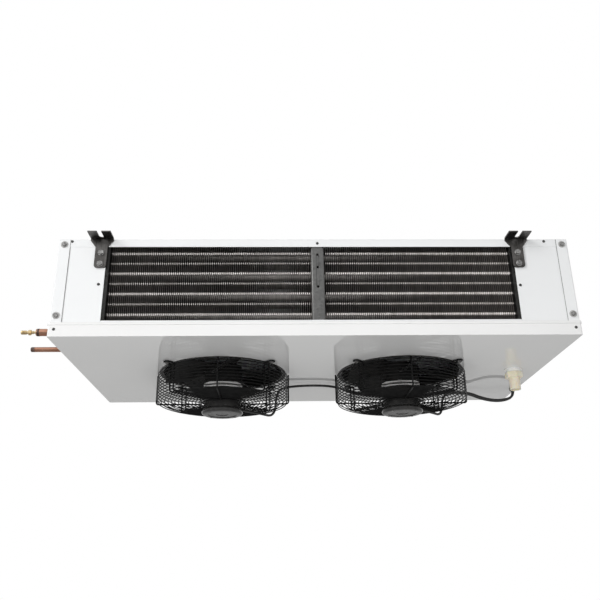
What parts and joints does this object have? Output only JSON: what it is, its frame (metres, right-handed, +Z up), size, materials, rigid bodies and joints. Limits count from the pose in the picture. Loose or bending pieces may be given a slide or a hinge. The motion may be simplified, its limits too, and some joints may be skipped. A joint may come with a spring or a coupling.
{
  "type": "walk-in unit cooler",
  "caption": "Ceiling-hung unit cooler: white casing around a finned coil, glossy drip tray carrying caged axial fans, hanger brackets, drain outlet and copper stubs.",
  "frame": {"origin": "middle of the plane in which the four hanger brackets' flanges meet the ceiling", "axes": "+X to the right and +Y away, facing the coil; +Z up; the fan axes lie along Z"},
  "size_m": [1.35, 0.696, 0.352],
  "materials": {
    "casing_white": "smooth satin white powder coat",
    "tray_gloss": "glossy white enamel",
    "galvanised": "dull galvanised sheet",
    "fin_aluminium": "thin mill-finish fins",
    "copper": "bright drawn copper",
    "bolt_steel": "stainless bolt heads",
    "stainless": "folded stainless plate",
    "ring_black": "satin black",
    "guard_wire": "black coated wire",
    "motor_black": "dark enamel",
    "rotor_black": "black blades on a bright-edged drum",
    "lead_black": "smooth cable sheath",
    "nut_white": "white moulded plastic",
    "drain_ivory": "ivory moulded plastic",
    "valve_brass": "turned brass",
    "plug_dark": "dark pushed-in plug",
    "gland_black": "black nylon"
  },
  "bodies": {
    "unit": {"access_valve": "valve_brass", "back_panel": "casing_white", "cable_gland": "gland_black", "centre_support": "galvanised", "coil_fins": "fin_aluminium", "coil_tubes": "copper", "cover_bolts": "bolt_steel", "drain_nut": "nut_white", "drain_outlet": "drain_ivory", "drip_tray": "tray_gloss", "end_cover_left": "casing_white", "end_cover_right": "casing_white", "fan_guard_1": "guard_wire", "fan_guard_2": "guard_wire", "fan_lead_1": "lead_black", "fan_lead_2": "lead_black", "fan_motor_1": "motor_black", "fan_motor_2": "motor_black", "fan_ring_1": "ring_black", "fan_ring_2": "ring_black", "front_panel_left": "casing_white", "front_panel_right": "casing_white", "front_sill": "casing_white", "hanger_bolts": "bolt_steel", "hanger_front_left": "stainless", "hanger_front_right": "stainless", "hanger_rear_left": "stainless", "hanger_rear_right": "stainless", "liquid_line": "copper", "liquid_plug": "plug_dark", "liquid_stub": "copper", "return_bends": "copper", "suction_line": "copper", "suction_stub": "copper", "top_panel": "casing_white", "tube_sheet_left": "galvanised", "tube_sheet_right": "galvanised", "valve_cap": "valve_brass"},
    "fan_1": {"fan_rotor_1": "rotor_black"},
    "fan_2": {"fan_rotor_2": "rotor_black"}
  },
  "joints": [
    {"name": "fan_1_spin", "type": "hinge", "parent": "unit", "child": "fan_1", "pos_m": [-0.234, 0.006, -0.243], "axis": [0, 0, 1], "continuous": true},
    {"name": "fan_2_spin", "type": "hinge", "parent": "unit", "child": "fan_2", "pos_m": [0.234, 0.006, -0.243], "axis": [0, 0, 1], "continuous": true}
  ]
}
